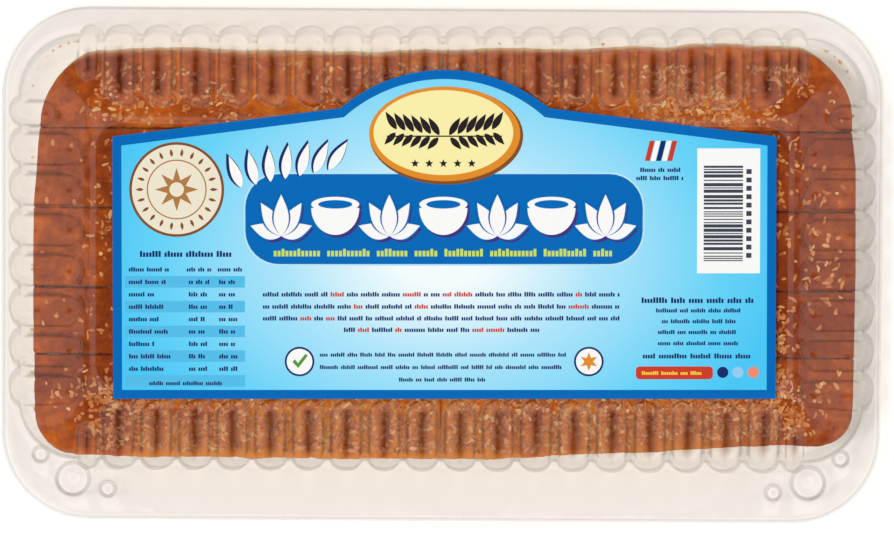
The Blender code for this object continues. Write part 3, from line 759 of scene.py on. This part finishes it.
def makeFlakes(material):
    # three cross-sections along a bent middle line, each a rectangle that narrows to both ends
    rng = np.random.default_rng(12)
    x, y = scatterOnCake(coconut["count"], rng)
    count = len(x)

    def draw(low, high):
        return rng.uniform(low, high, count)[:, None, None]

    def turned(a, b, angle):
        return a * np.cos(angle) - b * np.sin(angle), a * np.sin(angle) + b * np.cos(angle)

    short, long = coconut["length"]
    length = (short + (long - short) * rng.random(count) ** 1.6)[:, None, None]
    width, thick = draw(*coconut["width"]), draw(*coconut["thickness"])
    bend, curl = draw(*coconut["bend"]), draw(*coconut["curl"])
    roll, yaw, pitch = draw(*coconut["roll"]), draw(0, 2 * math.pi), draw(*coconut["pitch"])
    t = np.array([-1, 0, 1])[None, :, None]
    corner = np.array([(-1, -1), (1, -1), (1, 1), (-1, 1)])[None, None]
    taper = np.array(coconut["taper"])[None, :, None]
    along = length / 2 * t + 0 * corner[..., 0]
    aside = width / 2 * taper * corner[..., 0] + length * bend / 2 * t ** 2
    up = thick / 2 * corner[..., 1] - length * curl / 2 * t ** 2
    aside, up = turned(aside, up, roll)
    along, up = turned(along, up, pitch)
    along, aside = turned(along, aside, yaw)
    base = np.stack([x, y, cake["top"] + crustRelief(x, y) + coconut["lift"]], -1)
    points = np.stack([along, aside, up], -1) + base[:, None, None]
    pattern = np.array(gridFaces(3, 4).tolist() + [(3, 2, 1, 0), (8, 9, 10, 11)])
    faces = (np.arange(count)[:, None, None] * 12 + pattern[None]).reshape(-1, 4)
    tone = np.repeat(np.clip(rng.normal(0.58, 0.26, count), 0, 1), 12)
    addMesh("coconutFlakes", points, faces.tolist(), material, "base", {"tone": tone}, flat=True)


makeFlakes(coconutMaterial())
print("coconut made")


crumbs = {
    "count": 420, "radius": (0.25, 0.75), "topShare": 0.85,
    "gutterInset": 2.9,          # where the others lie, in from the wall
}


def makeCrumbs(material):
    # uneven icosahedra: radius · (0.65 + 0.5 random) at each of the twelve corners
    rng = np.random.default_rng(31)
    golden = (1 + 5 ** 0.5) / 2
    base = np.array([(-1, golden, 0), (1, golden, 0), (-1, -golden, 0), (1, -golden, 0), (0, -1, golden),
                     (0, 1, golden), (0, -1, -golden), (0, 1, -golden), (golden, 0, -1), (golden, 0, 1),
                     (-golden, 0, -1), (-golden, 0, 1)]) / math.hypot(1, golden)
    pattern = np.array([(0, 11, 5), (0, 5, 1), (0, 1, 7), (0, 7, 10), (0, 10, 11), (1, 5, 9), (5, 11, 4),
                        (11, 10, 2), (10, 7, 6), (7, 1, 8), (3, 9, 4), (3, 4, 2), (3, 2, 6), (3, 6, 8),
                        (3, 8, 9), (4, 9, 5), (2, 4, 11), (6, 2, 10), (8, 6, 7), (9, 8, 1)])
    count = crumbs["count"]
    small, large = crumbs["radius"]
    radius = small + (large - small) * rng.random(count) ** 2
    onTop = rng.random(count) < crumbs["topShare"]
    topX, topY = scatterOnCake(count, rng)
    gutter = rng.random(count) * 8
    flat = wallOutline(gutter, np.full(count, crumbs["gutterInset"]))
    x, y = np.where(onTop, topX, flat[:, 0]), np.where(onTop, topY, flat[:, 1])
    z = np.where(onTop, cake["top"] + crustRelief(x, y) + radius * 0.5, tray["base"] + radius * 0.85)
    points = base[None] * (radius[:, None] * (0.65 + 0.5 * rng.random((count, 12))))[..., None]
    points += np.stack([x, y, z], -1)[:, None, :]
    faces = (np.arange(count)[:, None, None] * 12 + pattern[None]).reshape(-1, 3)
    crust = np.repeat(np.where(onTop, rng.random(count) ** 0.6, rng.random(count) * 0.25), 12)
    addMesh("crumbs", points, faces.tolist(), material, "base", {"crust": crust}, flat=True)


makeCrumbs(sponge)
print("crumbs made")


label = {
    "bottom": 43.15, "top": 43.40,
    "level": 0.012,              # height of one level of print; shapes that overlap lie on different levels
    "halfLength": 100.7, "front": -38.7, "corner": 41.2, "notch": (31.6, 49.8), "domeTop": 61.4,
    "border": 2.75,
    "turn": 0.35, "shift": (0.8, -0.25),   # how the print lies on the lid, degrees and mm
    "glow": (105, 72, 0.08),     # half sizes of the pale glow, and how far it lies to the back as a share
    "sky": ((0.14, (244, 253, 255)), (0.45, (174, 230, 253)), (0.8, (104, 212, 250)), (1.05, (74, 200, 248))),
}
ink = {
    "border": (0, 105, 185), "navy": (22, 42, 104), "shadow": (62, 52, 130), "white": (250, 250, 250),
    "cream": (250, 240, 172), "amber": (226, 142, 42), "lime": (202, 226, 92), "brown": (132, 78, 40),
    "leaf": (88, 150, 58), "red": (206, 60, 40), "pale": (188, 232, 250), "grey": (60, 66, 80),
    "yellow": (248, 216, 70), "pink": (240, 140, 110), "lightBlue": (150, 205, 240), "dark": (34, 28, 30),
    "stripe": (84, 190, 234), "paper": (238, 230, 208), "tan": (176, 124, 72),
}
printed = []                     # outline, level and colour name of each printed shape
printDraws = np.random.default_rng(4)


def labelOutline(inset):
    # straight foot and sides, shoulders that slope up to two notches, and a circular dome between them
    side, front, corner = label["halfLength"] - inset, label["front"] + inset, label["corner"] - inset
    notchX, notchY = label["notch"][0] - inset * 0.42, label["notch"][1] - inset
    top = label["domeTop"] - inset
    rise = top - notchY
    radius = (notchX ** 2 + rise ** 2) / (2 * rise)
    turn = np.linspace(1, -1, 41) * math.asin(notchX / radius)
    dome = np.stack([radius * np.sin(turn), top - radius * (1 - np.cos(turn))], -1)
    start = [(-side, front), (side, front), (side, corner), (notchX, notchY)]
    return np.concatenate([start, dome, [(-notchX, notchY), (-side, corner)]])


def ellipse(x, y, rx, ry=None, sides=64, start=0.0, end=2 * math.pi):
    # middle + (rx cos a, ry sin a)
    turn = np.linspace(start, end, sides, endpoint=end - start < 6.28)
    return np.stack([x + rx * np.cos(turn), y + (ry or rx) * np.sin(turn)], -1)


def box(x0, y0, x1, y1, radius=0.0):
    # rectangle, its corners round where a radius is given
    if not radius:
        return np.array([(x0, y0), (x1, y0), (x1, y1), (x0, y1)], float)
    corners = ((x1 - radius, y1 - radius, 0), (x0 + radius, y1 - radius, 1), (x0 + radius, y0 + radius, 2),
               (x1 - radius, y0 + radius, 3))
    return np.concatenate([ellipse(x, y, radius, sides=9, start=k * math.pi / 2, end=(k + 1) * math.pi / 2)
                           for x, y, k in corners])


def leafShape(x, y, length, width, angle, sides=15):
    # half width = w/2 · sin(π t^0.8), t along the middle line from stalk to tip
    t = np.linspace(0, 1, sides)
    half = width / 2 * np.sin(math.pi * t ** 0.8)
    shape = np.concatenate([np.stack([t * length, -half], -1), np.stack([t * length, half], -1)[-2:0:-1]])
    c, s = math.cos(angle), math.sin(angle)
    return np.stack([x + shape[:, 0] * c - shape[:, 1] * s, y + shape[:, 0] * s + shape[:, 1] * c], -1)


def star(x, y, outer, inner, points):
    # corners by turns on the outer and the inner circle
    turn = math.pi / 2 + np.arange(2 * points) * math.pi / points
    r = np.where(np.arange(2 * points) % 2, inner, outer)
    return np.stack([x + r * np.cos(turn), y + r * np.sin(turn)], -1)


def put(shape, level, colour):
    printed.append((shape, level, colour))


def wordRow(x0, x1, y, high, colour="navy", level=4, words=(1.6, 6.5), gap=0.75, accent=None):
    # groups of upright marks from x0 to x1, each group a random length, each mark one of two heights
    x, step = x0, high * 0.52
    while x < x1 - 0.8:
        end = min(x + printDraws.uniform(*words), x1)
        shade = accent if accent and printDraws.random() < 0.16 else colour
        while x < end - step * 0.5:
            tall = high if printDraws.random() < 0.35 else high * 0.74
            put(box(x, y - high / 2, x + step * 0.72, y - high / 2 + tall), level, shade)
            x += step
        x += gap


def placed(shape):
    # turned about the middle and shifted
    c, s = math.cos(math.radians(label["turn"])), math.sin(math.radians(label["turn"]))
    return np.asarray(shape) @ np.array([(c, s), (-s, c)]) + label["shift"]


def makePrint(name, shapes, material):
    # each shape is a slab whose top lies level · one level's height above the sheet
    level = label["level"]
    points, faces = slabs([(placed(shape), label["top"] + level * (place - 1.5), label["top"] + level * place)
                           for shape, place, colour in shapes])
    colours = np.concatenate([np.tile(linear(ink[colour]), (2 * len(shape), 1))
                              for shape, place, colour in shapes])
    return addMesh(name, points, faces, material, "lid", colours=colours, flat=True)


def inkMaterial():
    material, tree, shader = newMaterial("labelInk", 0.45, 0.12)
    feed(tree, shader.inputs["Base Color"], attributeOf(tree, "ink", "Color"))
    return material


def skyMaterial():
    # distance from the glow's middle in units of its half sizes, through a ramp from white to sky blue
    material, tree, shader = newMaterial("labelSky", 0.45, 0.12)
    halfX, halfY, back = label["glow"]
    mapping = newNode(tree, "Mapping", Vector=newNode(tree, "TexCoord").outputs["Object"],
                      Location=(0, -back, 0), Scale=(1 / (halfX * mm), 1 / (halfY * mm), 0))
    length = mathNode(tree, "LENGTH", mapping.outputs[0], kind="VectorMath")
    feed(tree, shader.inputs["Base Color"], ramp(tree, length, label["sky"]))
    return material


def drawOval():
    # rim in two tones, field, two mirrored sprigs on one stalk, and a row of stars
    put(ellipse(0.6, 41.4, 23.3, 14.8), 5, "brown")
    put(ellipse(0.1, 42.0, 22.9, 14.4), 6, "amber")
    put(ellipse(-0.3, 42.4, 21.2, 12.9), 7, "cream")
    for side in (-1, 1):
        for i in range(6):
            x, up = side * i * 2.6, math.pi / 2
            put(leafShape(x + side * 1.5, 41.6 + i * 0.35, 6.4, 2.1, up - side * 0.55), 8, "dark")
            put(leafShape(x + side * 1.8, 40.9 + i * 0.3, 5.0, 1.9, -up + side * 0.75), 9, "dark")
        put(box(min(0, side * 17.5), 41.1, max(0, side * 17.5), 41.5), 10, "dark")
    for i in range(5):
        put(star(-8.9 + i * 4.3, 33.0, 1.3, 0.6, 5), 8, "dark")


def drawBanner():
    # flowers and bowls by turns, each first as a shifted shadow, then a strap of marks under them
    put(box(-60.9, 1.9, 60.7, 30.3, 10.6), 2, "pale")
    put(box(-60.4, 2.4, 60.2, 29.8, 10.2), 3, "border")
    for shift, level, colour in (((0.8, -0.9), 4, "shadow"), ((0, 0), 15, "white")):
        for i in range(7):
            x, y = -49.5 + i * 16.4 + shift[0], 16.6 + shift[1]
            if i % 2:
                put(ellipse(x, y + 2.9, 7.3, 8.2, 30, math.pi, 2 * math.pi), level, colour)
                put(ellipse(x, y + 4.0, 7.3, 2.3, 32), level + 1, colour)
                continue
            petals = ((-1.25, 9.8), (1.25, 9.8), (-0.55, 11.8), (0.55, 11.8), (0, 12.6))    # turn and length
            for k, (turn, long) in enumerate(petals):
                if colour == "white":
                    put(leafShape(x, y - 5.6, long + 0.8, 5.6, math.pi / 2 + turn), level + 2 * k, "border")
                put(leafShape(x, y - 5.6, long, 4.6, math.pi / 2 + turn), level + 2 * k + 1, colour)
    for i in (1, 3, 5):
        put(ellipse(-49.5 + i * 16.4, 20.6, 5.2, 1.3, 28), 17, "border")
    wordRow(-51.8, 51.2, 5.9, 2.3, "lime", words=(4.0, 15.0), gap=1.9)
    # spray of leaves beside the oval
    for grow, level, colour in ((1.0, 4, "navy"), (0.0, 11, "white")):
        for i in range(7):
            put(leafShape(-61.5 + i * 4.4 - grow * 0.4, 25.6 + i * 0.9, 10.4 + grow, 3.0 + grow,
                          1.95 - i * 0.16), level + i, colour)


def drawSeal(x=-81.2, y=25.1):
    # two rings, leaves round the edge and a star
    for level, radius, colour in ((2, 14.4, "brown"), (3, 13.6, "paper"), (4, 9.1, "tan"), (5, 8.7, "paper")):
        put(ellipse(x, y, radius), level, colour)
    for turn in np.arange(22) / 22 * 2 * math.pi:
        put(leafShape(x + 10.1 * math.cos(turn), y + 10.1 * math.sin(turn), 2.4, 0.9, turn), 5, "brown")
    put(star(x, y, 6.6, 3.0, 8), 6, "tan")
    put(ellipse(x, y, 2.2), 7, "paper")


def drawTable():
    # heading, striped rows of three columns and a foot line at the left
    wordRow(-92.4, -63.9, 5.5, 1.8, words=(4, 9), gap=0.9)
    for i in range(5):
        put(box(-97.0, -3.0 - i * 7.55 - 1.75, -60.6, -3.0 - i * 7.55 + 1.75), 2, "stripe")
    wordRow(-95.8, -83.6, 0.8, 1.3, words=(2, 5))
    wordRow(-78.2, -70.3, 0.8, 1.3, words=(2, 4))
    wordRow(-68.8, -61.2, 0.8, 1.3, words=(2, 4))
    for i in range(8):
        for x0, x1, loose, words in ((-95.8, -89.0, 7, (2.5, 7)), (-77.6, -72.0, 1, (1.6, 3.2)),
                                     (-68.4, -62.8, 1, (1.6, 3.2))):
            wordRow(x0, x1 + printDraws.uniform(0, loose), -3.0 - i * 3.78, 1.35, words=words)
    wordRow(-89.7, -66.9, -33.9, 1.2)


def drawMiddle():
    # four long rows with red groups, a ring with a tick, three rows, and a ring with a star
    for y, x0, x1 in ((-6.8, -55.1, 53.6), (-10.5, -55.1, 53.6), (-14.1, -55.1, 53.6), (-17.6, -30.5, 29.0)):
        wordRow(x0, x1, y, 1.35, accent="red")
    for x in (-44.0, 43.9):
        put(ellipse(x, -27.3, 4.5), 2, "navy")
        put(ellipse(x, -27.3, 3.9), 3, "white")
    tick = ((-46.2, -27.4), (-45.4, -26.6), (-44.5, -27.8), (-42.2, -24.9), (-41.5, -25.5), (-44.4, -29.3))
    put(np.array(tick), 4, "leaf")
    put(star(43.9, -27.3, 2.9, 1.3, 6), 4, "amber")
    for y, x0, x1 in ((-25.2, -37.8, 37.2), (-29.0, -37.8, 37.2), (-32.8, -13.8, 12.6)):
        wordRow(x0, x1, y, 1.2)


def drawRight():
    # slanted stripes, two short rows, a field of bars, six rows, a pill and three discs
    for i, colour in enumerate(("red", "white", "navy", "white", "red")):
        x = 60.8 + i * 1.7
        put(np.array([(x, 33.8), (x + 1.5, 33.8), (x + 3.0, 39.9), (x + 1.5, 39.9)]), 4, colour)
    wordRow(59.4, 71.6, 31.1, 1.3, words=(2, 5))
    wordRow(58.2, 72.8, 28.6, 1.3, words=(2, 5))
    put(box(76.7, -0.4, 95.8, 37.6), 2, "white")
    y = 3.3
    while y < 32.3:
        high = printDraws.choice((0.33, 0.33, 0.66, 0.99))
        put(box(78.7, y, 90.6, y + high), 4, "grey")
        y += high + printDraws.choice((0.33, 0.33, 0.66))
    for i in range(11):
        put(box(91.6, 4.3 + i * 2.55, 93.2, 5.8 + i * 2.55), 4, "grey")
    wordRow(59.9, 94.3, -8.6, 1.7, words=(4, 9), gap=1.0)
    for y, x0, x1 in ((-11.7, 64.3, 89.8), (-15.0, 66.1, 88.3), (-18.3, 64.9, 89.5), (-21.7, 64.9, 89.5)):
        wordRow(x0, x1, y, 1.25)
    wordRow(60.3, 93.4, -25.6, 1.5, words=(4, 9), gap=1.0)
    put(box(58.2, -32.7, 81.6, -28.8, 1.2), 2, "red")
    wordRow(60.0, 79.8, -30.8, 1.1, "yellow", 3, (2, 6))
    for x, colour in ((84.6, "navy"), (89.2, "lightBlue"), (93.9, "pink")):
        put(ellipse(x, -30.6, 1.7, sides=28), 2, colour)


labelInk = inkMaterial()
points, faces = slabs([(placed(labelOutline(0.0)), label["bottom"], label["top"])])
colours = np.repeat([linear(ink["white"]), linear(ink["border"])], len(points) // 2, axis=0)
labelSheet = addMesh("labelSheet", points, faces, labelInk, "lid", colours=colours, flat=True)
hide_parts("label")
makePrint("labelSkyField", [(labelOutline(label["border"]), 1, "lightBlue")], skyMaterial())
for draw in (drawOval, drawBanner, drawSeal, drawTable, drawMiddle, drawRight):
    draw()
makePrint("labelShapes", printed, labelInk)
print("label printed")


# the sheets are opened under the snaps' cups
for piece, z, grow in ((lidSheet, lid["flangeTop"], 0.0), (traySheet, tray["flangeTop"], 0.6)):
    cutter = makeHoles(piece.name + "Holes", z, grow)
    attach(cutter, "lid" if piece is lidSheet else "base")
    holes = piece.modifiers.new("Snap holes", "BOOLEAN")
    holes.operation = "DIFFERENCE"
    holes.solver = "MANIFOLD"
    holes.object = cutter
print("snap holes cut")


studio = {
    "floor": (252, 252, 251), "floorHalf": 6.0, "worldColour": (255, 253, 250),
    "worldStrength": 0.47, "mirroredStrength": 0.90,
    "capMiddle": (0, -0.05, 0.9987), "capAngles": (6.0, 14.0), "capShare": 0.1,    # dark patch of the sky
    "floorGlow": 0.18,                             # a light table, so that no shadow shows round the pack
    "key": {"place": (-0.42, 0.14, 2.55), "size": 0.30, "power": 31.0, "mirrored": False},
    "fill": {"place": (1.2, -0.3, 1.3), "size": 0.7, "power": 3.0, "mirrored": False},
}
view = {
    "target": (0.0005, -0.0007, 0.0203), "distance": 2.3, "lean": 4.5, "turn": 0.35, "lens": 302.0,
}


def makeFloor():
    mesh = bpy.data.meshes.new("floor")
    r, z = studio["floorHalf"], -0.0002
    mesh.from_pydata([(-r, -r, z), (r, -r, z), (r, r, z), (-r, r, z)], [], [(0, 1, 2, 3)])
    material, tree, shader = newMaterial("floor", 0.9, 0.0)
    shader.inputs["Base Color"].default_value = linear(studio["floor"])
    shader.inputs["Emission Color"].default_value = (1, 1, 1, 1)
    shader.inputs["Emission Strength"].default_value = studio["floorGlow"]
    mesh.materials.append(material)
    floor = bpy.data.objects.new("floor", mesh)
    bpy.context.scene.collection.objects.link(floor)


def makeLights():
    world = bpy.data.worlds.new("studio")
    world.use_nodes = True
    tree = world.node_tree
    background = tree.nodes["Background"]
    background.inputs["Color"].default_value = linear(studio["worldColour"])
    # strength = world strength · (dark share straight above … 1 beyond the cap's edge)
    upward = mathNode(tree, "DOT_PRODUCT", newNode(tree, "TexCoord").outputs["Generated"], studio["capMiddle"],
                      kind="VectorMath")
    inner, outer = [math.cos(math.radians(angle)) for angle in studio["capAngles"]]
    spread = newNode(tree, "MapRange", Value=upward, From_Min=outer, From_Max=inner, To_Min=1.0,
                     To_Max=studio["capShare"])
    spread.interpolation_type = "SMOOTHSTEP"
    glossyRay = newNode(tree, "LightPath").outputs["Is Glossy Ray"]
    strength = mathNode(tree, "MULTIPLY_ADD", glossyRay, studio["mirroredStrength"] - studio["worldStrength"],
                        studio["worldStrength"])
    strength = mathNode(tree, "MULTIPLY", strength, spread.outputs["Result"])
    tree.links.new(strength, background.inputs["Strength"])
    bpy.context.scene.world = world
    for name in ("key", "fill"):
        values = studio[name]
        light = bpy.data.lights.new(name, "AREA")
        light.shape = "SQUARE"
        light.size = values["size"]
        light.energy = values["power"]
        lamp = bpy.data.objects.new(name, light)
        bpy.context.scene.collection.objects.link(lamp)
        lamp.visible_camera = False
        lamp.visible_glossy = values["mirrored"]
        lamp.location = values["place"]
        lamp.rotation_mode = "QUATERNION"
        aim = -lamp.location
        lamp.rotation_quaternion = aim.to_track_quat("-Z", "Y")


def makeCamera():
    # place = target + distance · (0, sin lean, cos lean)
    data = bpy.data.cameras.new("camera")
    data.lens = view["lens"]
    data.sensor_width = 36.0
    data.clip_start, data.clip_end = 0.1, 20.0
    camera = bpy.data.objects.new("camera", data)
    bpy.context.scene.collection.objects.link(camera)
    lean = math.radians(view["lean"])
    x, y, z = view["target"]
    camera.location = (x, y + view["distance"] * math.sin(lean), z + view["distance"] * math.cos(lean))
    camera.rotation_euler = (-lean, 0, math.radians(view["turn"]))
    bpy.context.scene.camera = camera


makeFloor()
makeLights()
makeCamera()
bpy.context.scene.view_settings.view_transform = "Standard"
bpy.context.scene.cycles.transparent_max_bounces = 24    # the snaps lie behind many clear walls
print("studio ready")
